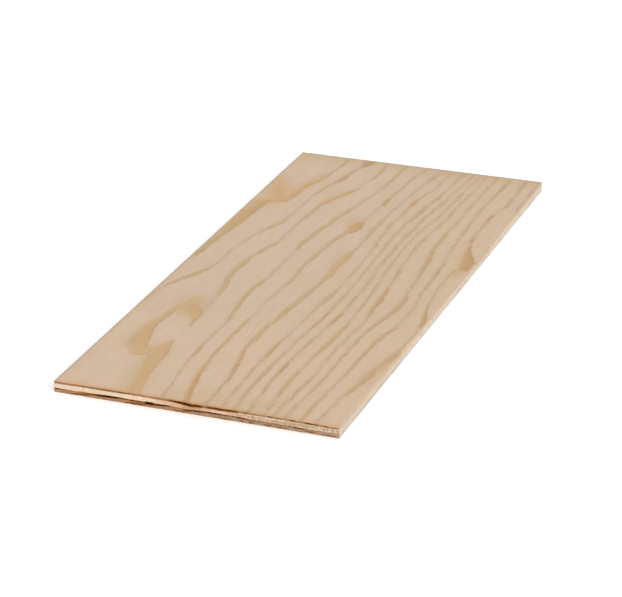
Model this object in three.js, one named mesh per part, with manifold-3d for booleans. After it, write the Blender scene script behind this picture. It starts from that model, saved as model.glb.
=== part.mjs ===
// A sanded softwood plywood panel, lying face up: a thin face veneer, a cross-laid core in two
// pieces that butt together, and a back veneer. The veneers were peeled, dried and pressed, so
// the glue lines between them swell and dip, and small gaps open where a veneer was torn.
// Millimetres. X runs across the face grain, Y along it, Z up; the origin is the middle of the
// underside.

import * as THREE from 'three';
import { mergeVertices } from 'three/addons/utils/BufferGeometryUtils.js';
import Module from 'manifold-3d';

// Driving dimensions.
const panelWidth = 304.8;
const panelLength = 685.8;
const backThickness = 4.9;
const coreThickness = 4.8;
const faceThickness = 1.8;
const glueThickness = 0.2;
const jointAcross = 0.652; // where the two core pieces meet, as a share of the width
const jointGap = 0.3;

// How finely the veneers' surfaces follow the swells.
const columnPitch = 5.4;
const rowPitch = 46;

// Heights of the veneers' nominal surfaces.
const coreBottom = backThickness + glueThickness;
const coreTop = coreBottom + coreThickness;
const faceBottom = coreTop + glueThickness;
const panelThickness = faceBottom + faceThickness;

// Swells (+) and dips (-) of the two glue lines. across and along place the middle of each one
// as shares of the width and the length, from the front left corner; halfWidth and halfLength
// say how far it reaches before it has faded to about a third.
const lowerSwells = [
  { across: 0.0, along: 0.0, halfWidth: 10, halfLength: 60, height: -0.3 },
  { across: 0.085, along: 0.0, halfWidth: 14, halfLength: 150, height: -0.7 },
  { across: 0.31, along: 0.0, halfWidth: 36, halfLength: 220, height: 0.45 },
  { across: 0.49, along: 0.0, halfWidth: 8, halfLength: 70, height: -0.6 },
  { across: 0.59, along: 0.0, halfWidth: 22, halfLength: 170, height: 0.7 },
  { across: 0.745, along: 0.0, halfWidth: 10, halfLength: 90, height: -0.25 },
  { across: 0.94, along: 0.0, halfWidth: 26, halfLength: 110, height: -0.65 },
  { across: 1.0, along: 0.42, halfWidth: 60, halfLength: 85, height: 0.4 },
  { across: 1.0, along: 0.72, halfWidth: 45, halfLength: 60, height: -0.35 },
  { across: 0.0, along: 0.36, halfWidth: 50, halfLength: 90, height: 0.45 },
  { across: 0.0, along: 0.66, halfWidth: 55, halfLength: 70, height: -0.4 },
  { across: 0.22, along: 1.0, halfWidth: 30, halfLength: 120, height: 0.5 },
  { across: 0.55, along: 1.0, halfWidth: 24, halfLength: 90, height: -0.5 },
  { across: 0.82, along: 1.0, halfWidth: 28, halfLength: 110, height: 0.35 },
];
const upperSwells = [
  { across: 0.03, along: 0.0, halfWidth: 14, halfLength: 90, height: -0.25 },
  { across: 0.31, along: 0.0, halfWidth: 30, halfLength: 180, height: 0.3 },
  { across: 0.49, along: 0.0, halfWidth: 10, halfLength: 60, height: -1.5 },
  { across: 0.585, along: 0.0, halfWidth: 16, halfLength: 80, height: -0.85 },
  { across: 0.76, along: 0.0, halfWidth: 28, halfLength: 200, height: 0.3 },
  { across: 0.96, along: 0.0, halfWidth: 18, halfLength: 70, height: -0.25 },
  { across: 1.0, along: 0.55, halfWidth: 50, halfLength: 75, height: -0.35 },
  { across: 0.0, along: 0.5, halfWidth: 60, halfLength: 80, height: 0.3 },
  { across: 0.35, along: 1.0, halfWidth: 26, halfLength: 100, height: -0.45 },
  { across: 0.7, along: 1.0, halfWidth: 30, halfLength: 120, height: 0.4 },
];

// Torn places in the veneers at the front edge that the glue didn't fill. Each is a lens that
// lies in a glue line and opens on the edge.
const lowerGaps = [
  { across: 0.21, halfLength: 14, depth: 6, height: 1.0 },
  { across: 0.345, halfLength: 6, depth: 4, height: 1.3 },
  { across: 0.4, halfLength: 5, depth: 4, height: 0.8 },
  { across: 0.495, halfLength: 6, depth: 4, height: 0.9 },
  { across: 0.57, halfLength: 9, depth: 4, height: 0.5 },
  { across: 0.655, halfLength: 10, depth: 5, height: 0.8 },
];
const upperGaps = [
  { across: 0.465, halfLength: 13, depth: 6, height: 0.9 },
  { across: 0.55, halfLength: 7, depth: 4, height: 0.7 },
  { across: 0.615, halfLength: 13, depth: 5, height: 0.8 },
];
const gapSegments = 18;
const gapRings = 8;

const leftEdge = -panelWidth / 2;
const frontEdge = -panelLength / 2;
const jointX = leftEdge + jointAcross * panelWidth;

// Height of the swells of one glue line at a point of the panel.
function swellHeight(swells, x, y) {
  let height = 0;
  for (const swell of swells) {
    const dx = (x - leftEdge - swell.across * panelWidth) / swell.halfWidth;
    const dy = (y - frontEdge - swell.along * panelLength) / swell.halfLength;
    height += swell.height * Math.exp(-dx * dx - dy * dy);
  }
  return height;
}

// Evenly spaced stations from start to end, no further apart than pitch.
function stations(start, end, pitch) {
  const count = Math.ceil((end - start) / pitch);
  return Array.from({ length: count + 1 }, (_, i) => start + ((end - start) * i) / count);
}

const leftColumns = stations(leftEdge, jointX, columnPitch);
const rightColumns = stations(jointX, -leftEdge, columnPitch);
const rows = stations(frontEdge, -frontEdge, rowPitch);

// A closed veneer between two surfaces, lower(x, y) and upper(x, y), over the given columns.
function veneerGeometry(columns, lower, upper) {
  const points = [];
  for (const surface of [lower, upper]) {
    for (const y of rows) {
      for (const x of columns) points.push(x, y, surface(x, y));
    }
  }

  const columnCount = columns.length;
  const rowCount = rows.length;
  const at = (level, row, column) => (level * rowCount + row) * columnCount + column;
  const triangles = [];
  const quad = (a, b, c, d) => triangles.push(a, b, c, a, c, d);
  for (let row = 0; row < rowCount - 1; row++) {
    for (let column = 0; column < columnCount - 1; column++) {
      const corners = [[row, column], [row, column + 1], [row + 1, column + 1], [row + 1, column]];
      const [a, b, c, d] = corners.map(([r, k]) => at(1, r, k));
      quad(a, b, c, d);
      const [e, f, g, h] = corners.map(([r, k]) => at(0, r, k));
      triangles.push(e, g, f, e, h, g);
    }
  }
  const lastRow = rowCount - 1;
  const lastColumn = columnCount - 1;
  for (let k = 0; k < lastColumn; k++) {
    quad(at(0, 0, k), at(0, 0, k + 1), at(1, 0, k + 1), at(1, 0, k));
    quad(at(0, lastRow, k + 1), at(0, lastRow, k), at(1, lastRow, k), at(1, lastRow, k + 1));
  }
  for (let r = 0; r < lastRow; r++) {
    quad(at(0, r + 1, 0), at(0, r, 0), at(1, r, 0), at(1, r + 1, 0));
    quad(at(0, r, lastColumn), at(0, r + 1, lastColumn), at(1, r + 1, lastColumn), at(1, r, lastColumn));
  }

  const geometry = new THREE.BufferGeometry();
  geometry.setAttribute('position', new THREE.Float32BufferAttribute(points, 3));
  geometry.setIndex(triangles);
  return geometry;
}

const wasm = await Module();
wasm.setup();

function toSolid(geometry) {
  const plain = geometry.clone();
  plain.deleteAttribute('normal');
  plain.deleteAttribute('uv');
  const merged = mergeVertices(plain, 1e-4);
  return new wasm.Manifold(
    new wasm.Mesh({
      numProp: 3,
      vertProperties: new Float32Array(merged.attributes.position.array),
      triVerts: new Uint32Array(merged.index.array),
    }),
  );
}

function toGeometry(solid) {
  const mesh = solid.getMesh();
  const geometry = new THREE.BufferGeometry();
  geometry.setAttribute('position', new THREE.Float32BufferAttribute(mesh.vertProperties, 3));
  geometry.setIndex(Array.from(mesh.triVerts));
  return geometry;
}

// The lens of one gap on the front edge, bent to follow its glue line's swells.
function gapGeometry(gap, swells, glueHeight) {
  const lens = new THREE.SphereGeometry(1, gapSegments, gapRings);
  lens.scale(gap.halfLength, gap.depth, gap.height / 2);
  lens.translate(leftEdge + gap.across * panelWidth, frontEdge, glueHeight);
  const points = lens.attributes.position;
  for (let i = 0; i < points.count; i++) {
    points.setZ(i, points.getZ(i) + swellHeight(swells, points.getX(i), points.getY(i)));
  }
  return lens;
}

const lowerLenses = lowerGaps.map((gap) =>
  toSolid(gapGeometry(gap, lowerSwells, backThickness + glueThickness / 2)));
const upperLenses = upperGaps.map((gap) =>
  toSolid(gapGeometry(gap, upperSwells, coreTop + glueThickness / 2)));

const panel = new THREE.Group();

function addVeneer(name, columns, lower, upper, lenses, colour) {
  let solid = toSolid(veneerGeometry(columns, lower, upper));
  for (const lens of lenses) solid = solid.subtract(lens);
  const geometry = toGeometry(solid);
  geometry.computeVertexNormals();
  const material = new THREE.MeshStandardMaterial({ color: colour, roughness: 0.75, metalness: 0 });
  const mesh = new THREE.Mesh(geometry, material);
  mesh.name = name;
  panel.add(mesh);
}

const lowerGlue = (height) => (x, y) => height + swellHeight(lowerSwells, x, y);
const upperGlue = (height) => (x, y) => height + swellHeight(upperSwells, x, y);
const flat = (height) => () => height;

// The core pieces' columns are the panel's own, drawn back from the joint.
const leftCoreColumns = [...leftColumns.slice(0, -1), jointX - jointGap / 2];
const rightCoreColumns = [jointX + jointGap / 2, ...rightColumns.slice(1)];
const allColumns = [...leftColumns, ...rightColumns.slice(1)];

addVeneer('back_veneer', allColumns, flat(0), lowerGlue(backThickness), lowerLenses, 0xb08a62);
addVeneer('core_veneer_left', leftCoreColumns, lowerGlue(coreBottom), upperGlue(coreTop),
  [...lowerLenses, ...upperLenses], 0xebcfb3);
addVeneer('core_veneer_right', rightCoreColumns, lowerGlue(coreBottom), upperGlue(coreTop),
  [...lowerLenses, ...upperLenses], 0xd6b48e);
addVeneer('face_veneer', allColumns, upperGlue(faceBottom), flat(panelThickness), upperLenses, 0xcdb498);

export default panel;
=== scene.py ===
import math

import bpy
import numpy as np
from mathutils import Matrix, Vector
from mathutils.bvhtree import BVHTree


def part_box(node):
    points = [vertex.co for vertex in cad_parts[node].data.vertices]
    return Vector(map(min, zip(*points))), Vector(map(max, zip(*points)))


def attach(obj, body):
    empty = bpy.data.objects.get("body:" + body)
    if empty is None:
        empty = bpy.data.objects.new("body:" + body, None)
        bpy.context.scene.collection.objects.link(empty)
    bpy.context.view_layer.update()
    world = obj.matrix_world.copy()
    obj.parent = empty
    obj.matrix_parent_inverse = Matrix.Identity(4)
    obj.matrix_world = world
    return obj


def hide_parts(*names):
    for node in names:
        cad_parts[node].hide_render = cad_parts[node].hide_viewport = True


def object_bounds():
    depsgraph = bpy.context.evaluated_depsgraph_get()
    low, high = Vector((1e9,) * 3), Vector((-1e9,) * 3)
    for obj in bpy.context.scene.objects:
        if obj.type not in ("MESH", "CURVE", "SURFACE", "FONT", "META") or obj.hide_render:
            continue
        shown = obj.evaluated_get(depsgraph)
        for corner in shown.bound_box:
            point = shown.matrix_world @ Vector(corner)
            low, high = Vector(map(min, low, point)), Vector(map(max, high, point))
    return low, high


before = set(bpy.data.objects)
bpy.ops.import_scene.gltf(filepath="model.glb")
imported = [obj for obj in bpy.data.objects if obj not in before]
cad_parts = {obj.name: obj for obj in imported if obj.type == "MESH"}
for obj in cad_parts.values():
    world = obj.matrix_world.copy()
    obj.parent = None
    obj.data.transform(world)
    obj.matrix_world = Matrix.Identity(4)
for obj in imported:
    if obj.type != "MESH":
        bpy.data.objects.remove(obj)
cad_low, cad_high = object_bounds()

MM = 0.001

# The panel in millimetres: X across the face grain, Y along it, Z up.
LEFT, FRONT, BOTTOM = (v / MM for v in cad_low)
RIGHT, BACK, TOP = (v / MM for v in cad_high)
JOINT_X = (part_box("core_veneer_left")[1].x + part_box("core_veneer_right")[0].x) / 2 / MM

FINE = 0.8  # pitch of the edges' stations
STEP = 3  # fine stations to one cell of a broad surface
HIDDEN_STEP = 12  # the same for the surfaces that face a glue line, away from the edges
BACK_ROWS, CORE_ROWS, FACE_ROWS = 12, 11, 4  # cells up each veneer's edges
GLUE_CLOSE = 0.08  # how far each veneer reaches into the glue line
RAY_INSET = 0.06  # how far inside a CAD node's outline its heights are read
RAY_CLEAR = 5  # how far above or below the node the rays for that start
BAKE_MARGIN = 0.005  # the part of the square that the bake map leaves free below and above


# ---------- growth lines of the face

# The face's growth lines, read off it in units of a 700th of its width: distance from the back
# edge, then distance from the left edge. They are listed from left to right.
TRACE = (RIGHT - LEFT) / 700
GROWTH_LINES = [
    [(0, 140), (95, 141), (150, 130), (200, 120), (240, 106), (330, 92), (400, 36), (560, 26),
     (700, 14), (800, 2), (1000, -60), (1575, -200)],
    [(0, 199), (100, 188), (175, 172), (235, 157), (290, 147), (390, 147), (460, 144), (500, 139),
     (545, 122), (620, 101), (690, 86), (780, 86), (845, 80), (880, 62), (930, 38), (985, 16),
     (1080, 4), (1300, -60), (1575, -120)],
    [(0, 256), (125, 262), (155, 246), (205, 247), (255, 228), (310, 206), (355, 188), (420, 185),
     (500, 179), (560, 179), (630, 180), (690, 160), (760, 145), (850, 140), (910, 150),
     (990, 164), (1100, 171), (1190, 173), (1300, 170), (1420, 176), (1575, 192)],
    [(0, 312), (140, 309), (240, 299), (330, 283), (390, 271), (425, 259), (475, 262), (540, 245),
     (620, 239), (700, 244), (860, 242), (935, 228), (1040, 234), (1130, 249), (1250, 244),
     (1330, 247), (1420, 251), (1500, 263), (1575, 268)],
    [(0, 382), (40, 371), (80, 360), (200, 356), (270, 347), (390, 342), (460, 327), (520, 322),
     (590, 305), (680, 302), (740, 296), (850, 301), (960, 294), (1040, 291), (1080, 297),
     (1110, 291), (1300, 288), (1380, 297), (1440, 303), (1500, 316), (1575, 328)],
    [(0, 420), (70, 409), (150, 400), (280, 391), (400, 381), (520, 383), (610, 387), (700, 374),
     (780, 379), (850, 376), (990, 360), (1060, 354), (1090, 357), (1140, 345), (1260, 346),
     (1340, 360), (1440, 376), (1575, 378)],
    [(0, 447), (140, 442), (230, 424), (300, 421), (440, 415), (520, 418), (600, 427), (760, 433),
     (890, 432), (930, 421), (1080, 421), (1170, 417), (1280, 406), (1440, 411), (1575, 415)],
    [(0, 482), (130, 478), (210, 472), (300, 457), (460, 447), (560, 449), (780, 457), (900, 462),
     (1050, 457), (1170, 447), (1350, 439), (1470, 437), (1575, 446)],
    [(0, 515), (60, 506), (220, 496), (350, 484), (500, 478), (650, 479), (740, 481), (860, 490),
     (960, 492), (1070, 486), (1240, 473), (1400, 469), (1575, 480)],
    [(0, 529), (170, 523), (330, 517), (400, 506), (490, 499), (580, 500), (740, 507), (860, 519),
     (1000, 525), (1080, 528), (1200, 520), (1380, 508), (1575, 522)],
    [(0, 546), (80, 546), (240, 540), (340, 539), (450, 530), (560, 525), (700, 533), (840, 548),
     (960, 554), (1050, 560), (1170, 552), (1250, 549), (1370, 555), (1520, 540), (1575, 541)],
    [(0, 579), (140, 572), (340, 573), (450, 570), (540, 572), (660, 590), (800, 601), (900, 611),
     (1000, 596), (1110, 580), (1210, 578), (1360, 579), (1500, 571), (1575, 571)],
    [(0, 616), (110, 611), (260, 605), (400, 611), (540, 618), (700, 630), (800, 633), (925, 647),
     (1040, 640), (1130, 622), (1260, 621), (1400, 613), (1500, 608), (1575, 608)],
    [(0, 657), (120, 662), (200, 664), (265, 648), (400, 642), (470, 646), (540, 658), (600, 672),
     (650, 667), (700, 662), (790, 661), (900, 674), (1000, 695), (1070, 700), (1150, 693),
     (1250, 678), (1340, 668), (1440, 650), (1575, 642)],
    [(0, 691), (200, 694), (400, 722), (700, 745), (1000, 745), (1300, 728), (1575, 712)],
]
# Where a line is faint or not seen: its number, from and to, from the back edge, and how much
# of it shows there.
FAINT = [(1, 190, 1600, 0), (2, 1120, 1600, 0), (3, 1195, 1600, 0), (14, 470, 655, 0),
         (9, 70, 165, 0.5), (10, 0, 150, 0.75), (11, 0, 140, 0.55)]
LINE_REACH = 28  # how far a traced line is smoothed
LINE_PITCH = 4.0  # the pitch of the stations for that, from the first to the last
LINE_FROM, LINE_TO = -80, 1660
LINE_BEYOND = 110  # from the outermost lines to the unseen ones beyond them
CLOUD_FALL = 2.2  # a cloud has faded to exp(-CLOUD_FALL) at its half width
LATEWOOD_FAR = 60.0  # a point further than this from latewood is given this distance

# Broad latewood: strokes of (distance from the back, distance from the left, half width).
TAN_STROKES = [
    [(0, 138, 3), (40, 139, 5), (75, 140, 5), (102, 138, 3)],
    [(130, 136, 4), (180, 124, 6), (235, 105, 8), (290, 96, 9), (335, 92, 12), (358, 84, 13),
     (374, 58, 9)],
    [(372, 48, 6), (400, 32, 17), (450, 26, 20), (490, 25, 16), (550, 22, 18), (620, 17, 13),
     (700, 13, 10), (790, 8, 8)],
    [(80, 184, 6), (100, 183, 8), (118, 181, 5)],
    [(215, 160, 4), (248, 153, 7), (285, 148, 4)],
    [(485, 141, 5), (510, 133, 9), (535, 125, 8), (560, 118, 6)],
    [(845, 80, 4), (868, 70, 7), (895, 58, 9), (922, 46, 8), (950, 31, 6), (985, 17, 4)],
    [(1195, 174, 1), (1165, 167, 6), (1130, 158, 14), (1102, 148, 20), (1090, 130, 18),
     (1088, 108, 16), (1110, 95, 11), (1150, 90, 10), (1200, 83, 13), (1250, 82, 20),
     (1300, 90, 25), (1340, 102, 27), (1362, 112, 22)],
    [(1366, 112, 20), (1350, 140, 20)],
    [(1276, 168, 1), (1302, 163, 14), (1340, 158, 26), (1380, 165, 24), (1420, 171, 20),
     (1460, 176, 18), (1520, 187, 18), (1585, 198, 19)],
    [(5, 258, 4), (60, 259, 6), (100, 257, 6), (132, 254, 3)],
    [(215, 244, 4), (255, 227, 10), (310, 207, 5), (355, 188, 7), (430, 183, 5), (505, 180, 4)],
    [(640, 176, 4), (655, 174, 7), (685, 163, 7), (725, 154, 5)],
    [(750, 148, 6), (785, 145, 11), (850, 140, 9), (900, 147, 7), (940, 157, 9), (990, 163, 7)],
    [(0, 309, 4), (60, 309, 5), (140, 307, 5), (192, 304, 3)],
    [(350, 281, 3), (385, 272, 6), (430, 262, 7), (470, 260, 7), (520, 248, 10), (560, 245, 8),
     (620, 239, 8), (660, 240, 5)],
    [(870, 240, 4), (895, 234, 6), (945, 228, 8), (1000, 229, 8), (1070, 237, 7), (1120, 243, 5)],
    [(1262, 245, 3), (1300, 245, 7), (1340, 247, 5)],
    [(505, 325, 10), (545, 315, 10), (575, 308, 6), (640, 305, 5), (690, 300, 8), (720, 297, 7),
     (780, 296, 4), (850, 301, 5), (900, 300, 3)],
    [(1095, 289, 3), (1140, 288, 5), (1240, 287, 5), (1330, 288, 4), (1385, 293, 4)],
    [(58, 361, 3), (90, 358, 5), (132, 357, 3)],
    [(370, 384, 3), (440, 383, 5), (540, 383, 4)],
    [(640, 380, 6), (672, 377, 14), (740, 374, 11), (790, 380, 12), (825, 378, 7), (850, 376, 5)],
    [(870, 372, 7), (960, 367, 7), (1000, 360, 10), (1030, 356, 9), (1110, 354, 6)],
    [(1125, 347, 6), (1170, 349, 8), (1215, 350, 6)],
    [(45, 417, 3), (75, 412, 6), (106, 407, 4)],
    [(870, 430, 4), (905, 431, 6), (950, 424, 6), (1020, 422, 4)],
    [(1205, 411, 4), (1260, 408, 6), (1312, 409, 4)],
    [(268, 463, 4), (320, 459, 7), (388, 455, 4)],
    [(1272, 444, 2), (1330, 441, 4), (1440, 439, 4), (1570, 445, 4)],
    [(735, 483, 3), (765, 488, 4), (800, 491, 3)],
    [(1065, 525, 6), (1120, 522, 8), (1200, 519, 8), (1245, 516, 4)],
    [(1345, 508, 4), (1390, 508, 8), (1425, 510, 5)],
    [(395, 572, 3), (440, 570, 6), (540, 571, 7), (590, 576, 9), (640, 584, 8), (700, 590, 5)],
    [(855, 606, 5), (880, 608, 9), (930, 606, 9), (985, 601, 6), (1030, 589, 5), (1070, 583, 7)],
    [(50, 611, 4), (100, 612, 5), (140, 610, 3)],
    [(390, 611, 4), (435, 613, 4)],
    [(615, 627, 3), (700, 630, 5), (772, 632, 3)],
    [(1060, 634, 5), (1095, 628, 8), (1130, 622, 6), (1200, 619, 4), (1275, 619, 5),
     (1320, 617, 3)],
    [(1435, 611, 4), (1500, 607, 7), (1575, 606, 7)],
    [(15, 658, 4), (60, 660, 5), (102, 661, 3)],
    [(155, 662, 5), (214, 661, 5)],
    [(878, 672, 4), (910, 676, 4)],
    [(1155, 694, 6), (1190, 690, 9), (1222, 686, 5)],
    [(1280, 674, 5), (1305, 671, 11), (1326, 671, 5)],
    [(1342, 669, 6), (1368, 664, 6), (1395, 659, 7), (1425, 652, 4)],
]
# Where latewood lies just under the surface and only tints it: distance from the back, distance
# from the left, half width and how much it shows.
CLOUDS = [
    [(8, 20, 26, 0.35), (45, 24, 26, 0.25)],
    [(215, 14, 44, 0.7), (285, 40, 60, 1.15), (340, 62, 52, 1.15), (400, 28, 40, 1.1)],
    [(470, 16, 34, 1), (560, 14, 34, 0.7)],
    [(150, 116, 26, 0.6), (182, 112, 24, 0.7), (240, 98, 30, 0.9), (330, 84, 30, 0.9)],
    [(1012, 124, 30, 0.5), (1055, 124, 56, 1.2), (1098, 132, 60, 1.2), (1130, 156, 30, 0.6)],
    [(1190, 76, 24, 0.5), (1320, 84, 46, 0.8)],
    [(24, 440, 20, 0.5), (28, 484, 20, 0.6)],
    [(28, 582, 14, 0.6), (26, 604, 14, 0.7)],
    [(430, 306, 22, 0.6), (470, 314, 20, 0.6)],
    [(1330, 152, 42, 0.8), (1570, 184, 46, 0.7)],
    [(120, 176, 22, 0.6), (180, 176, 22, 0.5)],
    [(430, 334, 30, 0.3), (474, 332, 36, 0.6)],
    [(250, 224, 26, 0.7), (340, 192, 26, 0.7)],
    [(640, 374, 24, 0.5), (760, 376, 24, 0.5)],
    [(560, 660, 26, 0.6), (625, 684, 38, 0.9), (690, 680, 24, 0.6)],
    [(1190, 694, 26, 0.5), (1250, 680, 26, 1), (1310, 672, 26, 0.8), (1400, 656, 18, 0.5)],
]
# The same as the tan strokes, where the latewood is rich in resin, and orange.
ORANGE_STROKES = [
    [(0, 200, 17), (28, 202, 16), (46, 201, 9), (56, 200, 3)],
    [(128, 180, 5), (150, 180, 9), (178, 173, 7), (188, 168, 3)],
    [(218, 104, 3), (232, 104, 7), (246, 102, 3)],
    [(255, 346, 6), (300, 347, 7)],
    [(440, 338, 5), (456, 332, 14), (475, 331, 20), (495, 334, 14), (509, 331, 9)],
    [(1385, 293, 4), (1420, 297, 7), (1460, 303, 9), (1510, 313, 9), (1550, 322, 9),
     (1590, 331, 8)],
    [(1280, 348, 4), (1310, 355, 6), (1345, 361, 6), (1400, 370, 5), (1440, 376, 3)],
    [(200, 472, 2), (225, 471, 4), (256, 468, 3)],
    [(232, 420, 4), (252, 419, 7), (278, 419, 7), (298, 421, 3)],
    [(550, 420, 2), (570, 425, 4), (590, 428, 2)],
    [(1005, 459, 4), (1060, 455, 4), (1100, 452, 2)],
    [(1000, 493, 5), (1060, 487, 4)],
    [(1308, 470, 3), (1340, 470, 6), (1372, 470, 4)],
    [(820, 544, 4), (850, 547, 7), (900, 550, 8), (945, 551, 7), (985, 553, 4)],
    [(268, 647, 3), (286, 645, 7), (314, 643, 4)],
    [(432, 641, 3), (460, 645, 5), (500, 654, 6), (535, 660, 9), (570, 673, 13), (603, 683, 19),
     (625, 686, 23), (636, 686, 19)],
    [(925, 680, 4), (955, 686, 6), (1010, 697, 6)],
]


def smoothed(points, at):
    """A traced line's distance from the left at the given distances from the back."""
    points = np.array(points, float)
    stations = np.arange(LINE_FROM, LINE_TO, LINE_PITCH)
    kernel = np.hanning(int(LINE_REACH / LINE_PITCH) | 1)
    kernel /= kernel.sum()
    values = np.interp(stations, points[:, 0], points[:, 1])
    padding = len(kernel) // 2
    values = np.convolve(np.pad(values, padding, mode="edge"), kernel, "valid")
    return np.interp(at, stations, values)


def stretches(strokes, across, along):
    """For each stretch of the strokes: how far the points lie to the right of its middle line,
    how far they are from it, and its half width and what else it has where it is nearest."""
    for stroke in strokes:
        for (y0, x0, *start), (y1, x1, *end) in zip(stroke[:-1], stroke[1:]):
            dx, dy = x1 - x0, y1 - y0
            t = np.clip(((across - x0) * dx + (along - y0) * dy) / (dx * dx + dy * dy), 0, 1)
            aside = across - x0 - t * dx
            away = np.hypot(aside, along - y0 - t * dy)
            yield aside, away, *(a + t * (b - a) for a, b in zip(start, end))


def growth_fields(x, y):
    """The face's pattern at points in mm: ring count, spacing of the rings, how far a thin line
    shows, the clouds, and for the tan and the orange latewood the distance outside the nearest
    stroke and the place across it, -1 at its left border and 1 at its right one."""
    across = (x - LEFT) / TRACE
    along = (BACK - y) / TRACE

    def places(at):
        lines = [smoothed(line, at) for line in GROWTH_LINES]
        return np.array([lines[0] - LINE_BEYOND, *lines, lines[-1] + LINE_BEYOND])

    lines = places(along)
    ring = np.clip((across - lines[:-1]) / (lines[1:] - lines[:-1]), 0, 1).sum(0)
    shown = np.ones_like(lines)
    shown[0] = shown[-1] = 0
    for number, start, end, share in FAINT:
        shown[number][(along >= start) & (along <= end)] = share
    gaps = np.vstack([lines[1] - lines[0], (lines[2:] - lines[:-2]) / 2, lines[-1] - lines[-2]])
    below = np.clip(np.floor(ring).astype(int), 0, len(lines) - 2)
    share = ring - below
    each = np.arange(len(x))

    def between_lines(values):
        return values[below, each] * (1 - share) + values[below + 1, each] * share

    slope = places(along + 1)[below, each] - lines[below, each]
    cloud = np.zeros(len(x))
    for _, away, half, amount in stretches(CLOUDS, across, along):
        reach = away / half
        cloud = np.maximum(cloud, amount * np.exp(-CLOUD_FALL * reach * reach))
    fields = {
        "ring": ring,
        "spacing": between_lines(gaps) / np.sqrt(1 + slope * slope) * TRACE,
        "strength": between_lines(shown),
        "cloud": cloud,
    }
    for name, strokes in (("tan", TAN_STROKES), ("orange", ORANGE_STROKES)):
        nearest = np.full(len(x), LATEWOOD_FAR)
        side = np.zeros(len(x))
        for aside, away, half in stretches(strokes, across, along):
            here = away - half < nearest
            nearest[here] = (away - half)[here]
            side[here] = np.clip(aside / (half + 1), -1, 1)[here]
        fields[name] = nearest * TRACE
        fields[name + "_side"] = side
    return fields


# ---------- the veneers' shapes

def field(u, v, seed):
    """A smooth random field from -1 to 1, with about one bump to a unit of u and of v."""
    size = 512
    table = np.random.default_rng(seed).uniform(-1, 1, (size, size))
    iu, iv = np.floor(u).astype(int), np.floor(v).astype(int)
    fu, fv = u - iu, v - iv
    fu, fv = fu * fu * (3 - 2 * fu), fv * fv * (3 - 2 * fv)

    def row(b):
        left, right = (table[(iu + a) % size, (iv + b) % size] for a in (0, 1))
        return left * (1 - fu) + right * fu

    return row(0) * (1 - fv) + row(1) * fv


def ripple(*waves):
    """Small unevenness of a glue line. Each wave has its height, its lengths along X and Y in mm
    and a seed."""
    return lambda x, y: sum(height * field(x / a, y / b, seed) for height, a, b, seed in waves)


lower_ripple = ripple((0.12, 5, 9, 11), (0.07, 1.7, 3, 12))
upper_ripple = ripple((0.10, 6, 8, 13), (0.06, 1.9, 2.6, 14))


def flat(height):
    return lambda x, y: np.full(len(x), height)


def glue_surface(name, upward, uneven):
    """The height in mm of a veneer's surface at a glue line: where rays that go up, or down,
    first meet its CAD node, with its unevenness and its reach into the glue."""
    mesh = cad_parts[name].data
    points = [v.co.copy() for v in mesh.vertices]
    tree = BVHTree.FromPolygons(points, [list(p.vertices) for p in mesh.polygons])
    low, high = (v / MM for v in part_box(name))
    start = (low.z - RAY_CLEAR if upward else high.z + RAY_CLEAR) * MM
    way = Vector((0, 0, 1 if upward else -1))

    def height(x, y):
        px = np.clip(x, low.x + RAY_INSET, high.x - RAY_INSET) * MM
        py = np.clip(y, low.y + RAY_INSET, high.y - RAY_INSET) * MM
        hits = [tree.ray_cast(Vector((a, b, start)), way)[0] for a, b in zip(px, py)]
        surface = np.array([hit.z / MM for hit in hits])
        return surface + uneven(x, y) + (-GLUE_CLOSE if upward else GLUE_CLOSE)

    return height


def stops(count, step, hidden):
    """Which fine stations a surface's cells use: every one near an edge, then every step."""
    ends = [0, 1, STEP]
    if hidden:
        ends += [2 * STEP, 3 * STEP]
    inner = list(range(ends[-1] + step, count - ends[-1] - step // 2, step))
    return ends + inner + [count - e for e in reversed(ends)]


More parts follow.
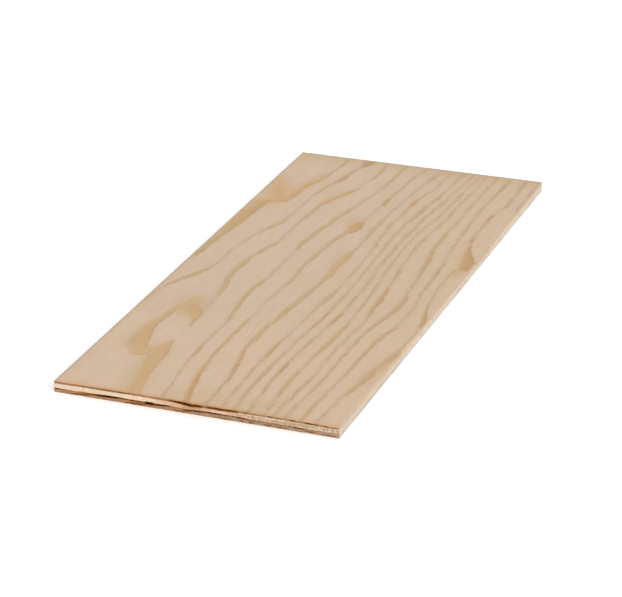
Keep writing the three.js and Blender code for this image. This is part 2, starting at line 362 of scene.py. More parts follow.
class Slab:
    """The mesh of one veneer between two surfaces, with fine stations round its edges."""

    def __init__(self, low, high, rows, shown):
        self.nx = round((high.x - low.x) / FINE / STEP) * STEP
        self.ny = round((high.y - low.y) / FINE / STEP) * STEP
        self.xs = np.linspace(low.x, high.x, self.nx + 1)
        self.ys = np.linspace(low.y, high.y, self.ny + 1)
        self.stations, self.levels = [], []
        self.count = 0
        self.faces, self.kinds = [], []
        ring = self.ring()
        low = self.layer(ring, 0.0, shown == "low")
        high = self.layer(ring, 1.0, shown == "high")
        previous = low[tuple(ring.T)]
        for row in range(1, rows):
            current = self.points(ring, row / rows)
            self.wall(previous, current)
            previous = current
        self.wall(previous, high[tuple(ring.T)])

    def ring(self):
        """The stations round the edge, anticlockwise from the front left corner."""
        nx, ny = self.nx, self.ny
        there = [(i, 0) for i in range(nx)] + [(nx, j) for j in range(ny)]
        back = [(i, ny) for i in range(nx, 0, -1)] + [(0, j) for j in range(ny, 0, -1)]
        return np.array(there + back)

    def points(self, stations, level):
        """Adds points at stations, level from 0 at the bottom to 1, and returns their numbers."""
        first = self.count
        self.count += len(stations)
        self.stations.append(stations)
        self.levels.append(np.full(len(stations), level))
        return np.arange(first, self.count)

    def layer(self, ring, level, shown):
        """One surface: its inner cells are squares, and its border cells take in every fine
        station of the edge."""
        columns = stops(self.nx, STEP, not shown)
        rows = stops(self.ny, STEP if shown else HIDDEN_STEP, not shown)
        used = np.zeros((self.nx + 1, self.ny + 1), bool)
        used[np.ix_(columns, rows)] = True
        used[ring[:, 0], ring[:, 1]] = True
        numbers = np.full(used.shape, -1)
        numbers[used] = self.points(np.argwhere(used), level)
        for a, b in zip(columns[:-1], columns[1:]):
            for c, d in zip(rows[:-1], rows[1:]):
                loop = [(i, c) for i in (range(a, b) if c == 0 else (a,))]
                loop += [(b, j) for j in (range(c, d) if b == self.nx else (c,))]
                loop += [(i, d) for i in (range(b, a, -1) if d == self.ny else (b,))]
                loop += [(a, j) for j in (range(d, c, -1) if a == 0 else (d,))]
                face = [int(numbers[p]) for p in loop]
                self.faces.append(face if level else face[::-1])
                self.kinds.append("high" if level else "low")
        return numbers

    def wall(self, below, above):
        """One row of squares round the edge."""
        quads = np.stack([below, np.roll(below, -1), np.roll(above, -1), above], 1)
        self.faces += quads.tolist()
        self.kinds += ["front"] * self.nx + ["right"] * self.ny
        self.kinds += ["rear"] * self.nx + ["left"] * self.ny

    def arrays(self):
        """The points' places in X and Y, levels and ways into the panel from their edges."""
        i, j = np.concatenate(self.stations).T
        way = [(i == 0) * 1.0 - (i == self.nx), (j == 0) * 1.0 - (j == self.ny)]
        return self.xs[i], self.ys[j], np.concatenate(self.levels), np.stack(way, 1)


def bake_map(mesh, slab, shown):
    """A map on which the shown broad surface fills most of the square and each edge is a strip."""
    co = np.zeros(len(mesh.vertices) * 3)
    mesh.vertices.foreach_get("co", co)
    co = co.reshape(-1, 3) / MM
    low = np.array([slab.xs[0], slab.ys[0], co[:, 2].min()])
    high = np.array([slab.xs[-1], slab.ys[-1], co[:, 2].max()])
    across, along, up = ((co[np.concatenate(slab.faces)] - low) / (high - low)).T
    kind = np.repeat(slab.kinds, [len(face) for face in slab.faces])
    # Where each kind of face goes: from left to right on the square, then the shares that fill it.
    strips = {
        shown: (0.005, 0.66, across, along),
        "right": (0.675, 0.715, up, along),
        "left": (0.73, 0.77, up, along),
        "front": (0.785, 0.825, up, across),
        "rear": (0.84, 0.88, up, across),
        "low" if shown == "high" else "high": (0.895, 0.995, across, along),
    }
    uv = np.zeros((len(kind), 2), np.float32)
    for name, (left, right, u, v) in strips.items():
        here = kind == name
        uv[here, 0] = left + (right - left) * u[here]
        uv[here, 1] = BAKE_MARGIN + (1 - 2 * BAKE_MARGIN) * v[here]
    layer = mesh.uv_layers.new(name="OFBake")
    layer.data.foreach_set("uv", uv.ravel())


def placed(name, data):
    """Puts a mesh, a camera or a lamp in the scene."""
    made = bpy.data.objects.new(name, data)
    bpy.context.scene.collection.objects.link(made)
    return made


def veneer(name, node, low, high, rows, shown, materials, relief, seed,
           fields=lambda x, y: {}):
    """Builds one veneer in the place of its CAD node. low and high give its surfaces' heights.
    relief takes (x, y, z, level, way, seed) and gives the points' moves in X and Y and their new
    heights; way points into the panel from the edge that a point is on."""
    slab = Slab(*(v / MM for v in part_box(node)), rows, shown)
    x, y, level, way = slab.arrays()
    bottom, top = low(x, y), high(x, y)
    z = bottom + (top - bottom) * level
    moves, height = relief(x, y, z, level, way, seed)
    place = np.stack([x, y], 1) + moves
    mesh = bpy.data.meshes.new(name)
    mesh.from_pydata((np.column_stack([place, height]) * MM).tolist(), [], slab.faces)
    names = list(dict.fromkeys(materials.values()))
    for material in names:
        mesh.materials.append(material)
    number = {kind: names.index(material) for kind, material in materials.items()}
    mesh.polygons.foreach_set("material_index", [number[kind] for kind in slab.kinds])
    values = {"under_top": top - z, "over_bottom": z - bottom, **fields(*place.T)}
    for key, value in values.items():
        layer = mesh.attributes.new(key, "FLOAT", "POINT")
        layer.data.foreach_set("value", np.asarray(value, np.float32))
    bake_map(mesh, slab, shown)
    mesh.polygons.foreach_set("use_smooth", [kind in ("low", "high") for kind in slab.kinds])
    mesh.update()
    made = placed(name, mesh)
    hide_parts(node)
    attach(made, "root")
    return made


# ---------- materials

END_BUMP, FACE_BUMP, ROUGH_BUMP = 0.22, 0.06, 0.12  # what a bump of 1 is, in mm
RING_SPACING = 17  # of the growth lines of the underside, in mm
MIDDLE = 1.0  # half width of the change from one end, or long side, to the other, in mm


def linear(red, green, blue):
    """A colour as seen, 0 to 255, as the shader wants it."""
    made = []
    for value in (red, green, blue):
        c = value / 255
        made.append(c / 12.92 if c <= 0.04045 else ((c + 0.055) / 1.055) ** 2.4)
    return (*made, 1.0)


class Nodes:
    """The nodes of a material or a world, and the operations that they are made with. Colours
    are tuples of values as seen, 0 to 255."""

    def __init__(self, owner):
        owner.use_nodes = True
        self.nodes = owner.node_tree.nodes
        self.links = owner.node_tree.links

    def node(self, kind, inputs, **settings):
        """Adds a node, with values for its inputs by their numbers or names."""
        node = self.nodes.new("ShaderNode" + kind)
        for name, value in settings.items():
            setattr(node, name, value)
        self.fill(node, inputs)
        return node

    def fill(self, node, inputs):
        """Gives inputs a number, a vector as a list, a colour or another node's output."""
        for key, value in inputs.items():
            if isinstance(value, bpy.types.NodeSocket):
                self.links.new(value, node.inputs[key])
            else:
                value = linear(*value) if isinstance(value, tuple) else value
                node.inputs[key].default_value = value

    def math(self, operation, a, b=0.0, clamp=False):
        return self.node("Math", {0: a, 1: b}, operation=operation, use_clamp=clamp).outputs[0]

    def add(self, a, b):
        return self.math("ADD", a, b)

    def times(self, value, *factors, clamp=False):
        for factor in factors:
            value = self.math("MULTIPLY", value, factor, clamp)
        return value

    def sum(self, *parts):
        """The sum of values with weights."""
        total, *rest = (self.times(value, weight) for value, weight in parts)
        for part in rest:
            total = self.add(total, part)
        return total

    def off(self, value, middle):
        """How far a value is from a middle."""
        return self.math("ABSOLUTE", self.math("SUBTRACT", value, middle))

    def most(self, value, *others):
        for other in others:
            value = self.math("MAXIMUM", value, other)
        return value

    def step(self, value, low, high, out_low=0.0, out_high=1.0):
        """A smooth step of value from out_low at low to out_high at high."""
        inputs = dict(enumerate((value, low, high, out_low, out_high)))
        return self.node("MapRange", inputs, interpolation_type="SMOOTHSTEP").outputs[0]

    def attribute(self, name):
        return self.node("Attribute", {}, attribute_name=name).outputs["Fac"]

    def mix(self, share, a, b):
        inputs = {"Factor": share, "A": a, "B": b}
        return self.node("Mix", inputs, data_type="RGBA", blend_type="MIX").outputs["Result"]

    def over(self, colour, *coats):
        """Lays coats, each a share and a colour, over a colour."""
        for share, coat in coats:
            colour = self.mix(share, colour, coat)
        return colour

    def scaled(self, vector, scale):
        return self.node("VectorMath", {0: vector, "Scale": scale}, operation="SCALE").outputs[0]

    def tone(self, colour, *parts):
        """Makes a colour lighter or darker by a sum of shares."""
        return self.scaled(colour, self.add(self.sum(*parts), 1.0))


class Wood(Nodes):
    """A wood material. Lengths are in mm."""

    def __init__(self, name):
        self.material = bpy.data.materials.new(name)
        super().__init__(self.material)
        self.shader = self.nodes["Principled BSDF"]
        self.position = self.scaled(self.node("TexCoord", {}).outputs["Object"], 1 / MM)
        self.x, self.y, self.z = self.node("SeparateXYZ", {0: self.position}).outputs

    def noise(self, size, offset, detail=1.0):
        """Noise about 0, from about -0.5 to 0.5. size is a bump's size on X, Y and Z."""
        shift = [offset, offset * 1.7, offset * 0.6]
        place = {0: self.position, 1: [1 / s for s in size], 2: shift}
        place = self.node("VectorMath", place, operation="MULTIPLY_ADD").outputs[0]
        texture = {"Vector": place, "Scale": 1.0, "Detail": detail, "Roughness": 0.55}
        return self.math("SUBTRACT", self.node("TexNoise", texture).outputs[0], 0.5)

    def grain(self, across, along, offset, detail=1.0):
        """Noise drawn out along Y, the way the fibres of the face run."""
        return self.noise((across, along, across), offset, detail)

    def finish(self, colour, roughness, height, distance, specular):
        """height is a bump of 0 to 1, and distance what 1 is."""
        bump = self.node("Bump", {"Strength": 1.0, "Distance": distance * MM, "Height": height})
        self.fill(self.shader, {"Base Color": colour, "Roughness": roughness,
                                "Specular IOR Level": specular, "Normal": bump.outputs[0]})
        return self.material


def thin_lines(w, steps):
    """The growth lines, and the soft halo beside each: how much of them shows."""
    ring = w.attribute("ring")
    off = w.times(w.math("SUBTRACT", ring, w.math("ROUND", ring)), w.attribute("spacing"))
    off = w.math("ABSOLUTE", w.add(off, steps))
    width = w.times(w.grain(9, 38, 21), 4.2)
    faint = w.times(w.step(w.grain(9, 30, 33, 2), -0.22, 0.22, 0.58, 1.25),
                    w.step(w.y, FRONT + 8, FRONT + 60, 1.25, 0.94),
                    w.step(w.y, -120, 0, 1, 1.07), w.attribute("strength"))
    line = w.times(w.step(w.math("SUBTRACT", off, width), 0.45, 2.3, 1, 0), faint)
    return line, w.times(w.step(off, 0.5, 6.2, 1, 0), faint)


def latewood(w, name, steps):
    """Broad latewood from the fields that growth_fields made: how much of it shows, fading on
    its left, and its dark rim, which follows its right border."""
    off = w.add(w.attribute(name), w.times(steps, 0.9))
    side = w.attribute(name + "_side")
    fade = w.step(side, -1, 0.9, -5, -1.8)
    patchy = w.step(w.grain(7, 36, 93, 2), -0.28, 0.2, 0.72, 1)
    body = w.times(w.step(off, fade, 1.1, 1, 0), w.step(side, -1, 0.6, 0.65, 1), patchy)
    rim = w.times(w.step(w.off(off, -1.3), 0.5, 2.6, 1, 0),
                  w.step(side, -0.3, 0.8, 0.25, 1), patchy)
    return body, rim


def earlywood(w):
    """The pale ground of the face, warmer beside its edges and browner at the front."""
    wide = w.times(w.grain(60, 160, 43), 90)
    older = w.step(w.add(w.x, wide), -40, 90)
    mottled = w.step(w.grain(5, 16, 45, 2), -0.22, 0.22)
    near = w.most(w.step(w.x, LEFT, LEFT + 12, 0.3, 0), w.step(w.y, BACK - 34, BACK - 4, 0, 0.5),
                  w.step(w.y, FRONT + 2, FRONT + 11, 0.65, 0))
    uneven = w.step(w.grain(12, 8, 91), -0.2, 0.15, 0.55, 1.1)
    # A tan tint near the left, rear and front edges, over uneven patches.
    edge_tan = w.mix(w.step(w.y, FRONT + 20, FRONT + 40), (208, 167, 124), (202, 166, 121))
    browner = w.times(w.step(w.x, -60, -20), w.step(w.x, 80, 120, 0.3, 0),
                      w.step(w.y, FRONT + 14, FRONT + 52, 1, 0))
    return w.over((207, 183, 161),
                  (w.step(w.grain(26, 60, 41, 2), -0.2, 0.2), (205, 180, 155)),
                  (w.times(older, 0.6), (209, 182, 153)),
                  (w.times(mottled, 0.5), (203, 181, 149)),
                  (w.step(w.y, -200, -90, 0.5, 0), (212, 183, 157)),
                  (w.times(near, uneven), edge_tan), (browner, (197, 167, 119)))


def sanded_face():
    """The face: pale earlywood with thin growth lines that step along the fibres, and broad
    latewood where a line runs flat under the surface."""
    w = Wood("sanded_face")
    steps = w.sum((w.grain(2.6, 7, 3), 4.6), (w.grain(5, 18, 9), 3.4),
                  (w.grain(1.2, 8, 173), 3), (w.grain(0.45, 6, 171), 3.2))
    line, halo = thin_lines(w, steps)
    tan, tan_rim = latewood(w, "tan", steps)
    orange, orange_rim = latewood(w, "orange", steps)

    kind = w.grain(9, 52, 35)
    paler = w.times(w.step(w.x, -30, 30, 0.55, 0.2), w.step(w.y, -260, -120))
    dark = w.over((188, 156, 131), (w.step(kind, -0.26, -0.06), (183, 157, 129)),
                  (w.step(kind, -0.08, 0.1), (188, 160, 123)),
                  (w.step(kind, 0.12, 0.26), (192, 153, 119)), (paler, (192, 170, 151)))
    warm = w.most(w.step(w.y, -60, 60), w.step(w.x, 60, 110))
    shade = w.step(w.grain(14, 30, 97), -0.2, 0.16)
    strong = w.mix(shade, (195, 162, 108), (202, 161, 119))
    pale = w.mix(shade, (193, 163, 115), (199, 162, 125))
    body = w.over((187, 155, 104), (w.step(w.x, -140, -100),
                                    w.mix(w.step(w.y, -140, -60), strong, pale)),
                  (w.step(w.x, 50, 110, 0, 0.7), (196, 163, 126)))
    side = w.attribute("orange_side")
    resin = w.over((189, 158, 104), (w.step(side, -0.8, 0.5), (196, 151, 104)),
                   (w.step(w.x, 105, 135, 0, 0.8), (186, 150, 102)),
                   (w.step(w.y, 250, 320, 0, 0.8), (184, 146, 106)))

    # A darker, greyer rear and left border, and a singed front one.
    edge_patches = w.step(w.grain(2.5, 7, 99, 2), -0.25, 0.2, 0.35, 0.95)
    border = w.most(w.step(w.x, LEFT + 0.6, LEFT + 3.6, 1, 0), w.step(w.y, BACK - 6.5, BACK - 1))
    most = w.step(w.off(w.x, -22), 8, 34, 1, 0.65)
    singed = w.times(w.step(w.y, FRONT + 0.8, FRONT + 3.4, most, 0), edge_patches,
                     w.step(w.x, -130, -95, 0.25, 1), w.step(w.x, 40, 115, 1, 0.05))
    colour = w.over(
        earlywood(w),
        (w.times(w.attribute("cloud"), 0.7, clamp=True),
         w.mix(warm, (195, 165, 120), (201, 160, 113))),
        (w.times(halo, 0.32, clamp=True), (191, 162, 129)),
        (w.times(line, 0.85, clamp=True), dark),
        (w.times(tan, w.step(w.x, -70, 0, 0.86, 0.8)), body),
        (w.times(tan_rim, w.step(w.y, FRONT + 30, FRONT + 90, 0.2, 0.6)), (182, 151, 101)),
        (w.times(orange, 1.04, clamp=True), resin), (w.times(orange_rim, 0.62), (182, 139, 92)),
        (w.times(border, edge_patches), (171, 157, 140)), (singed, (170, 112, 62)))

    fibres = w.grain(0.45, 16, 5, 3)
    hairs = w.grain(0.16, 11, 151, 2)
    pores = w.step(w.grain(0.3, 3.2, 61), 0.2, 0.34)
    flecks = w.step(w.grain(0.2, 5, 161), 0.16, 0.28)
    colour = w.tone(colour, (fibres, 0.14), (w.grain(2.5, 40, 71, 2), 0.12),
                    (pores, -0.11), (w.grain(7, 22, 75), 0.05), (hairs, 0.2),
                    (flecks, -0.08), (w.step(w.y, 285, 325), -0.018))
    rough = w.step(w.sum((fibres, 1), (line, 0.2)), -0.3, 0.4, 0.72, 0.55)
    scratches = w.grain(0.25, 9, 81, 2)
    height = w.sum((fibres, 0.5), (scratches, 0.4), (hairs, 0.4), (line, 0.35))
    return w.finish(colour, rough, height, FACE_BUMP, 0.28)


def underside():
    """The back veneer's own face, not sanded: a broader, wilder grain."""
    w = Wood("veneer_underside")
    steps = w.sum((w.grain(1.5, 8, 103), 4), (w.grain(60, 240, 7, 2), 90),
                  (w.grain(0.5, 11, 107), 2.5))
    phase = w.times(w.add(w.x, steps), 1 / RING_SPACING)
    off = w.add(w.off(phase, w.math("ROUND", phase)), w.times(w.grain(8, 50, 19), 0.2))
    line = w.step(off, 0.03, 0.2, 1, 0)
    fibres = w.grain(0.5, 18, 15, 3)
    pores = w.step(w.grain(0.35, 4, 63), 0.16, 0.3)
    broad = w.step(w.grain(40, 90, 47, 2), -0.22, 0.22)
    colour = w.over((208, 178, 146), (broad, (203, 176, 142)),
                    (w.times(line, 0.68), (181, 143, 101)))
    colour = w.tone(colour, (fibres, 0.18), (w.grain(3, 50, 73, 2), 0.14),
                    (pores, -0.12), (w.grain(0.2, 12, 109, 2), 0.14))
    rough = w.step(fibres, -0.3, 0.4, 0.85, 0.68)
    return w.finish(colour, rough, w.sum((fibres, 0.7), (pores, -0.4)), ROUGH_BUMP, 0.28)


def streaks(w, rows):
    """A stain on the ends: the strongest of soft streaks, each with its middle in X and Z, its
    rise for each mm of X, its half length, its half height and its strength."""
    x = w.add(w.x, w.times(w.noise((3, 3, 1), 17), 6))
    z = w.add(w.z, w.times(w.noise((2.5, 2.5, 0.8), 27, 2), 1.1))
    total = 0
    for middle, height, rise, half, thick, strength in rows:
        along = w.math("SUBTRACT", x, middle)
        off = w.math("SUBTRACT", w.math("SUBTRACT", z, height), w.times(along, rise))
        along = w.math("POWER", w.times(along, 1 / half), 2)
        off = w.math("POWER", w.times(off, 1 / thick), 2)
        total = w.most(total, w.step(w.add(along, off), 0.1, 1.6, strength, 0))
    return total


def both_ends(w, front, rear):
    """The streaks of the front end or of the rear end, whichever a point is on."""
    return w.step(w.y, -MIDDLE, MIDDLE, streaks(w, front), streaks(w, rear))


def end_wood(name, tints, singed, burnt, stain, seed):
    """A sawn edge seen across its fibres: pores and torn, darker fibre ends. A stain turns its
    colour to singed and then to burnt."""
    w = Wood(name)
    layers = w.noise((9, 9, 0.5), seed, 2)
    torn = w.noise((1.6, 1.6, 0.7), seed + 5, 2)
    grit = w.noise((0.5, 0.5, 0.4), seed + 9, 2)
    lumps = w.noise((3.2, 3.2, 1.3), seed + 13)
    amount = w.step(w.sum((layers, 1), (torn, 0.7)), -0.3, 0.35)
    stained = stain(w)
    deep = w.times(w.math("SUBTRACT", stained, 0.5), 2, clamp=True)
    colour = w.over(tints(w, amount), (w.times(stained, 2, clamp=True), singed), (deep, burnt))
    colour = w.tone(colour, (grit, 0.6), (torn, 0.6), (lumps, 0.55))
    rough = w.step(torn, -0.3, 0.3, 0.75, 0.9)
    return w.finish(colour, rough, w.sum((grit, 0.6), (torn, 0.6)), END_BUMP, 0)


def long_wood(name, tints, seed, streak, along="y", specular=0.2):
    """A sawn edge seen along its fibres. tints gives its colour from position, and streak says
    how strongly it is streaked."""
    w = Wood(name)
    size = (22, 1.2, 0.35) if along == "x" else (1.2, 22, 0.35)
    fibres = w.noise(size, seed, 3)
    broad = w.noise([s * 4 for s in size], seed + 3, 2)
    grit = w.noise((0.6, 0.6, 0.3), seed + 8, 2)
    saw = w.noise((5, 5, 2.4), seed + 11, 2)
    teeth = w.noise((1.8, 1.8, 9), seed + 17)
    colour = w.tone(tints(w), (fibres, streak), (broad, streak), (grit, streak * 0.7),
                    (saw, streak * 1.2), (teeth, streak * 1.3))
    rough = w.step(fibres, -0.3, 0.3, 0.66, 0.82)
    return w.finish(colour, rough, w.sum((fibres, 0.8), (grit, 0.3)), ROUGH_BUMP, specular)


def face_end_tints(w, amount):
    """Brown, burnt over the core's dip at the front, and pale at the right."""
    over_dip = w.times(w.step(w.off(w.x, -12), 12, 26, 0.75, 0),
                       w.step(w.y, -MIDDLE, MIDDLE, 1, 0))
    return w.over((190, 152, 118), (amount, (150, 110, 78)), (over_dip, (164, 118, 64)),
                  (w.step(w.x, 132, 144, 0, 0.6), (196, 166, 134)))


# The ends' stains, as rows for streaks: where the face veneer is torn over a dip of the core,
# where the back veneer is dark under the glue line and split, and where the core isn't plain.
FACE_END_FRONT = [
    (-147, 11.3, 0, 8, 0.6, 0.3), (-126, 11.4, 0, 12, 0.6, 0.38), (-92, 11.8, 0, 34, 0.85, 0.6),
    (-77, 11.3, 0, 5, 0.7, 0.75), (-54, 12, 0, 3, 0.6, 0.8), (-38, 12, 0, 14, 0.8, 0.5),
    (-23, 11.3, -0.05, 6, 1, 0.8), (-15, 11.1, -0.07, 15, 1, 1), (-6, 10, -0.06, 10, 1, 1),
    (4, 10.1, 0, 6, 1.5, 0.9), (24, 10.6, 0, 12, 1, 0.85), (39, 11, 0, 10, 0.9, 0.85),
    (55, 11.1, 0, 4, 0.6, 0.6), (67, 11, 0, 3, 0.5, 0.4), (81, 10.9, 0, 2.5, 0.8, 0.9),
    (88, 11, 0, 4, 0.7, 0.45), (104, 11, 0, 4, 0.8, 0.9), (121, 10.8, 0, 5, 0.8, 0.85),
    (128, 10.6, 0, 3, 0.7, 0.7), (139, 10.6, 0, 3, 0.6, 0.75), (147, 10.3, 0, 4, 0.5, 0.5),
]
FACE_END_REAR = [
    (-120, 11.2, 0, 20, 0.7, 0.4), (-44, 10.4, 0.02, 16, 0.8, 0.8), (24, 11.2, 0, 26, 0.6, 0.35),
    (72, 10.7, -0.02, 9, 0.7, 0.7), (118, 11, 0, 16, 0.7, 0.4),
]
BACK_END_FRONT = [
    (-149, 4.6, 0, 6, 1.2, 1), (-143, 4, 0, 6, 0.9, 0.3), (-122, 2, 0.1, 16, 0.9, 0.62),
    (-94, 4.2, 0.03, 17, 1.2, 1), (-114, 4.5, 0, 12, 0.8, 0.72), (-77, 4.9, 0, 8, 1, 0.85),
    (-63, 4.5, 0, 12, 1.1, 0.68), (-63, 1.7, 0.07, 13, 0.9, 0.7), (-48, 4, 0, 6, 1.5, 1),
    (-41, 3.7, 0.04, 9, 1, 0.85), (-34, 4.6, 0, 10, 0.9, 0.9), (-13, 1.9, 0.12, 11, 1.1, 0.4),
    (1, 4.6, 0, 11, 1.15, 1), (-7, 3.8, 0, 5, 0.9, 0.8), (18, 4.7, 0, 17, 0.9, 0.8),
    (33, 4.8, 0, 5, 0.7, 0.7), (49, 4.5, -0.05, 10, 0.7, 0.7), (62, 3.5, -0.1, 8, 0.6, 0.45),
    (32, 1.3, 0, 9, 0.7, 0.4), (50, 1.4, 0, 2.5, 0.7, 0.9), (61, 1.2, 0, 2.5, 0.7, 0.9),
    (78, 1.6, 0, 5, 0.7, 0.5), (84, 3.5, 0, 9, 1, 0.22), (92, 1.4, 0, 7, 0.6, 0.45),
    (106, 4.8, -0.06, 13, 1.2, 0.9), (122, 2.1, 0, 7, 0.6, 0.5), (142, 1.5, 0, 9, 0.7, 0.65),
]
BACK_END_REAR = [
    (-128, 3.2, -0.06, 16, 0.8, 0.5), (-86, 4.7, 0.02, 20, 0.9, 0.8),
    (-40, 2, 0.04, 15, 0.7, 0.5), (-8, 4.4, 0, 9, 1.2, 0.95), (38, 4.2, -0.03, 16, 0.9, 0.7),
    (74, 1.8, 0.06, 12, 0.7, 0.45), (112, 4.6, 0, 18, 0.8, 0.6),
]
CORE_FRONT_BROWN = [
    (-2, 7, 0, 13, 2.2, 0.45), (0, 8.3, 0, 7, 0.8, 0.9), (5, 9, 0, 5, 0.8, 1),
    (12, 5.8, 0, 8, 0.6, 0.5), (98, 7, 0, 16, 1.6, 0.25), (-120, 4.9, 0, 9, 0.6, 0.7),
    (-99, 5.2, 0, 14, 0.6, 0.45), (5, 5.3, 0, 9, 0.6, 0.5),
]
CORE_REAR_BROWN = [(-46, 9.2, 0, 12, 0.9, 0.6), (18, 6, 0, 14, 0.8, 0.5),
                   (96, 7.6, 0.02, 18, 0.7, 0.4)]
CORE_FRONT_PALE = [(26, 6.8, 0, 10, 1.3, 0.7), (78, 9.4, 0, 28, 0.9, 0.75),
                   (55, 5.9, 0, 6, 0.8, 0.5), (125, 5.8, 0, 6, 1.2, 0.5)]
CORE_REAR_PALE = [(-90, 8.8, 0, 22, 1, 0.5), (60, 8.6, 0, 20, 0.9, 0.6)]


def end_stain(front, rear, glued, reach, strength):
    """The stain of a veneer's ends: its streaks, and a seam along its glue line."""
    return lambda w: w.most(both_ends(w, front, rear),
                            w.step(w.attribute(glued), 0.15, reach, strength, 0))


def back_end_tints(w, amount):
    """Reddish brown at the left, and paler and greyer to the right."""
    left = w.mix(amount, (192, 149, 111), (157, 112, 77))
    lower = w.mix(amount, (189, 165, 139), (156, 132, 107))
    right = w.over((190, 158, 127), (amount, (148, 116, 88)),
                   (w.step(w.z, 1.2, 2.6, 0.8, 0), lower),
                   (w.step(w.x, 128, 142, 0, 0.65), (198, 170, 142)))
    return w.mix(w.step(w.x, -30, 40), left, right)


def core_tints(w):
    """The core's sides: cream, then tan up to the joint, then a paler speckled brown; browner
    under the dips of the face veneer."""
    ragged = w.add(w.x, w.times(w.noise((30, 30, 1.2), 55, 2), 34))
    specks = w.noise((2, 2, 0.9), 57, 2)
    patches = w.step(w.noise((18, 18, 5), 67), -0.2, 0.2)
    right = w.over((211, 183, 154), (patches, (200, 172, 146)),
                   (w.step(w.z, 7.5, 9.5, 0, 0.5), (218, 186, 146)),
                   (w.step(specks, 0, 0.18, 0, 0.95), (166, 134, 106)),
                   (w.step(specks, -0.2, -0.04, 0.85, 0), (230, 208, 184)))
    return w.over((234, 207, 180), (w.step(ragged, -56, -18), (217, 181, 147)),
                  (w.step(w.x, JOINT_X - 0.2, JOINT_X + 0.2), right),
                  (both_ends(w, CORE_FRONT_PALE, CORE_REAR_PALE), (232, 203, 176)),
                  (both_ends(w, CORE_FRONT_BROWN, CORE_REAR_BROWN), (168, 116, 68)))


def core_end_tints(w):
    """The cores' ends: tan under the face veneer and round one place of the sides, then pale
    cream, with faint thin layers."""
    layers = w.step(w.noise((12, 30, 0.6), 58, 2), -0.25, 0.25)
    height = w.add(w.z, w.times(w.grain(20, 60, 62), 2))
    return w.over((231, 212, 191), (layers, (226, 204, 181)),
                  (w.step(height, 6.6, 9.2), (218, 193, 166)),
                  (w.step(w.off(w.y, 112), 14, 44, 0.7, 0), (210, 184, 156)))


def face_side_tints(w):
    """Tan towards the rear and the middle."""
    rear = w.times(w.noise((30, 120, 2), 59), 60)
    return w.over((221, 193, 165), (w.step(w.add(w.y, rear), -20, 160), (210, 183, 156)),
                  (w.step(w.off(w.y, -20), 30, 110, 0.5, 0), (203, 173, 148)))


def back_side_tints(w):
    """Pale grey on the right side, where light bounced up from the floor is painted into the
    colour, and warmer on the left one.
    """
    layers = w.step(w.noise((12, 60, 0.8), 66, 2), -0.25, 0.25)
    whiter_patches = w.step(w.grain(40, 44, 68), -0.2, 0.15)
    near_front = w.times(w.step(w.y, -240, -150, 1, 0), w.step(w.z, 1.6, 3.2, 0.1, 0.75))
    # The right side's pale greys are painted light from the floor's bounce, not the wood's own
    # colour.
    right = w.over((211, 198, 181), (whiter_patches, (228, 218, 207)),
                   (w.times(layers, 0.6), (210, 195, 178)), (near_front, (201, 185, 164)),
                   (w.step(w.off(w.y, -73), 10, 34, 0.5, 0), (224, 216, 206)))
    left = w.mix(layers, (222, 198, 168), (211, 184, 150))
    colour = w.mix(w.step(w.x, -MIDDLE, MIDDLE), left, right)
    return w.mix(w.step(w.z, 2.6, 4.4), colour, (226, 209, 190))


def glue_tints(w):
    return w.mix(w.step(w.grain(8, 8, 77, 2), -0.2, 0.2), (104, 52, 16), (66, 26, 3))


face_top = sanded_face()
back_under = underside()
face_ends = end_wood("face_veneer_end", face_end_tints, (138, 82, 24), (74, 27, 0),
                     end_stain(FACE_END_FRONT, FACE_END_REAR, "over_bottom", 0.8, 0.3), 200)
back_ends = end_wood("back_veneer_end", back_end_tints, (136, 84, 38), (54, 19, 0),
                     end_stain(BACK_END_FRONT, BACK_END_REAR, "under_top", 1, 0.45), 230)
face_sides = long_wood("face_veneer_side", face_side_tints, 260, 0.21)
back_sides = long_wood("back_veneer_side", back_side_tints, 290, 0.26)
core_fronts = long_wood("core_veneer_side", core_tints, 320, 0.22, "x")
core_ends = long_wood("core_veneer_end", core_end_tints, 350, 0.2)
glue = long_wood("glue_line", glue_tints, 380, 0.2, specular=0)


# ---------- the four veneers

# Splinters broken out of the back veneer's lower arris: middle, half width and height in mm.
FRONT_CHIPS = [(-124, 2.5, 0.5), (-70, 1.6, 0.5), (-34, 2, 0.35), (49.6, 1.5, 0.8),
               (61, 1.3, 0.9), (73.7, 1.6, 0.7), (81.6, 1.2, 0.9), (93, 2.4, 0.3),
               (119, 5, 0.45), (139, 1.5, 0.5)]
REAR_CHIPS = [(-110, 1.8, 0.6), (-63, 2.4, 0.5), (-12, 1.4, 0.8), (35, 2, 0.5), (92, 1.6, 0.7)]
# How deep the torn fibres and saw marks go into each veneer's edges, in mm.
FACE_TORN, CORE_TORN, BACK_TORN = 0.35, 0.3, 0.5


def gathered(x, spots):
    """The sum of soft spots (middle, half width, height) along an edge."""
    return sum(height * np.exp(-(((x - middle) / half) ** 2)) for middle, half, height in spots)


def edge_relief(x, y, z, way, seed, depth):
    """How far each point of an edge lies inside the panel's outline, in mm: torn fibres on the
    ends, and finer saw marks on the long sides."""
    end = field(x / 1.1, z / 0.5 + 7, seed) * 0.5 + field(x / 3.7, z / 1.3, seed + 1) * 0.5
    side = field(y / 2.3, z / 0.6 + 3, seed + 2) * 0.5 + field(y / 9, z / 3, seed + 3) * 0.5
    rough = np.where(way[:, 1] != 0, end, side * 0.45)
    return depth * np.clip(rough + 0.15, 0, 1)


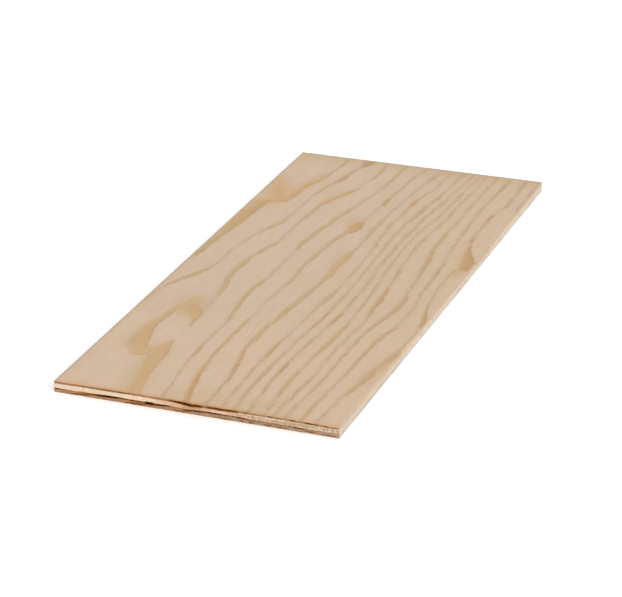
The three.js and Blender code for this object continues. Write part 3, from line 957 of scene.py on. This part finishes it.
def face_relief(x, y, z, level, way, seed):
    """The face veneer: its upper arris is worn and a little ragged."""
    inward = edge_relief(x, y, z, way, seed, FACE_TORN)
    arris = way.any(1) & (level == 1)
    ends = way[:, 1] != 0
    ragged = np.clip(field(x / 1.3, y / 6, seed + 8) + 0.2, 0, 1)
    inward = inward + np.where(arris & ends, 0.3 * ragged, 0) + np.where(arris, 0.04, 0)
    z = z - np.where(arris, 0.04 + 0.14 * np.where(ends, ragged, 0.3 * ragged), 0)
    return way * inward[:, None], z


def back_relief(x, y, z, level, way, seed):
    """The back veneer: splinters are broken out along its lower arris."""
    inward = edge_relief(x, y, z, way, seed, BACK_TORN)
    edge, ends = way.any(1), way[:, 1] != 0
    chip = np.where(way[:, 1] > 0, gathered(x, FRONT_CHIPS), gathered(x, REAR_CHIPS)) * ends
    ragged = np.clip(field(x / 1.5, y / 5, seed + 8) + 0.1, 0, 1)
    torn = chip + np.where(ends, 0.3, 0.08) * ragged
    share = np.clip(1 - level * 2.5, 0, 1)
    inward = inward + np.where(edge, (0.5 * torn + 0.4 * chip) * share, 0)
    z = z + np.where(edge, torn * share, 0)
    return way * inward[:, None], z


def core_relief(x, y, z, level, way, seed):
    """The core pieces: sawn edges, except at the joint between the two."""
    moves = way * edge_relief(x, y, z, way, seed, CORE_TORN)[:, None]
    moves[np.abs(x) < RIGHT - 1, 0] = 0
    return moves, z


def walls(ends, sides, low, high):
    return dict(front=ends, rear=ends, left=sides, right=sides, low=low, high=high)


def core(name, node, seed):
    return veneer(name, node, glue_surface(node, True, lower_ripple),
                  glue_surface(node, False, upper_ripple), CORE_ROWS, "none",
                  walls(core_fronts, core_ends, glue, glue), core_relief, seed)


back = veneer(
    "back_ply", "back_veneer", flat(BOTTOM), glue_surface("back_veneer", False, lower_ripple),
    BACK_ROWS, "low", walls(back_ends, back_sides, back_under, glue), back_relief, 500)
core_left = core("core_ply_left", "core_veneer_left", 520)
core_right = core("core_ply_right", "core_veneer_right", 540)
face = veneer(
    "face_ply", "face_veneer", glue_surface("face_veneer", True, upper_ripple), flat(TOP),
    FACE_ROWS, "high", walls(face_ends, face_sides, glue, face_top), face_relief, 560,
    growth_fields)


# ---------- camera, floor and light

FOCAL_PIXELS = 2541.8
PHOTO_WIDTH = 622
SENSOR = 36.0
CAMERA_PLACE = (0.9249, -2.3799, 1.1159)
CAMERA_FORWARD = (-0.33405, 0.85061, -0.40604)
CAMERA_UP = (-0.13636, 0.38265, 0.91378)
CAMERA_REACH = 50
FLOOR_HALF = 6.0
FLOOR_DROP = 0.05 * MM
# What lights the object, and what the camera sees, from the floor and from the world.
FLOOR_LIGHT, FLOOR_SEEN = 0.75, 1.08
WORLD_LIGHT, WORLD_SEEN = 0.62, 1.0
KEY_SHARE = 0.59  # the key's light on a surface that faces it, where 1 shows a colour as written
KEY_FROM = Vector((0.48, -0.60, 0.64))
KEY_ANGLE = 50

camera_data = bpy.data.cameras.new("camera")
camera_data.sensor_width = SENSOR
camera_data.lens = FOCAL_PIXELS * SENSOR / PHOTO_WIDTH
camera_data.clip_end = CAMERA_REACH
camera = placed("camera", camera_data)
bpy.context.scene.camera = camera
forward = Vector(CAMERA_FORWARD).normalized()
sideways = forward.cross(Vector(CAMERA_UP)).normalized()
turn = Matrix((sideways, sideways.cross(forward), -forward)).transposed()
camera.matrix_world = Matrix.Translation(CAMERA_PLACE) @ turn.to_4x4()

floor_mesh = bpy.data.meshes.new("floor")
corners = [(i * FLOOR_HALF, j * FLOOR_HALF, -FLOOR_DROP)
           for i, j in ((-1, -1), (1, -1), (1, 1), (-1, 1))]
floor_mesh.from_pydata(corners, [], [(0, 1, 2, 3)])
floor = placed("floor", floor_mesh)


def white_for_camera(tree, plain, seen):
    """A value that is seen by the camera, in glossy and through clear surfaces, else plain."""
    path = tree.node("LightPath", {}).outputs
    rays = tree.most(*(path[f"Is {kind} Ray"] for kind in ("Camera", "Glossy", "Transmission")))
    inputs = {"Value": rays, "To Min": plain, "To Max": seen}
    return tree.node("MapRange", inputs).outputs[0]


floor_material = bpy.data.materials.new("floor")
tree = Nodes(floor_material)
tree.nodes.clear()
white = white_for_camera(tree, FLOOR_LIGHT, FLOOR_SEEN)
grey = tree.node("CombineColor", {0: white, 1: white, 2: white})
paint = tree.node("BsdfDiffuse", {"Color": grey.outputs[0]})
tree.node("OutputMaterial", {"Surface": paint.outputs[0]})
floor_mesh.materials.append(floor_material)

world = bpy.data.worlds.new("studio")
bpy.context.scene.world = world
tree = Nodes(world)
strength = white_for_camera(tree, WORLD_LIGHT, WORLD_SEEN)
tree.fill(tree.nodes["Background"], {"Color": [1.0, 1.0, 1.0, 1.0], "Strength": strength})

key_data = bpy.data.lights.new("key", "SUN")
key_data.energy = KEY_SHARE * math.pi
key_data.angle = math.radians(KEY_ANGLE)
key = placed("key", key_data)
key.rotation_euler = (-KEY_FROM).to_track_quat("-Z", "Y").to_euler()

bpy.context.scene.view_settings.view_transform = "Standard"
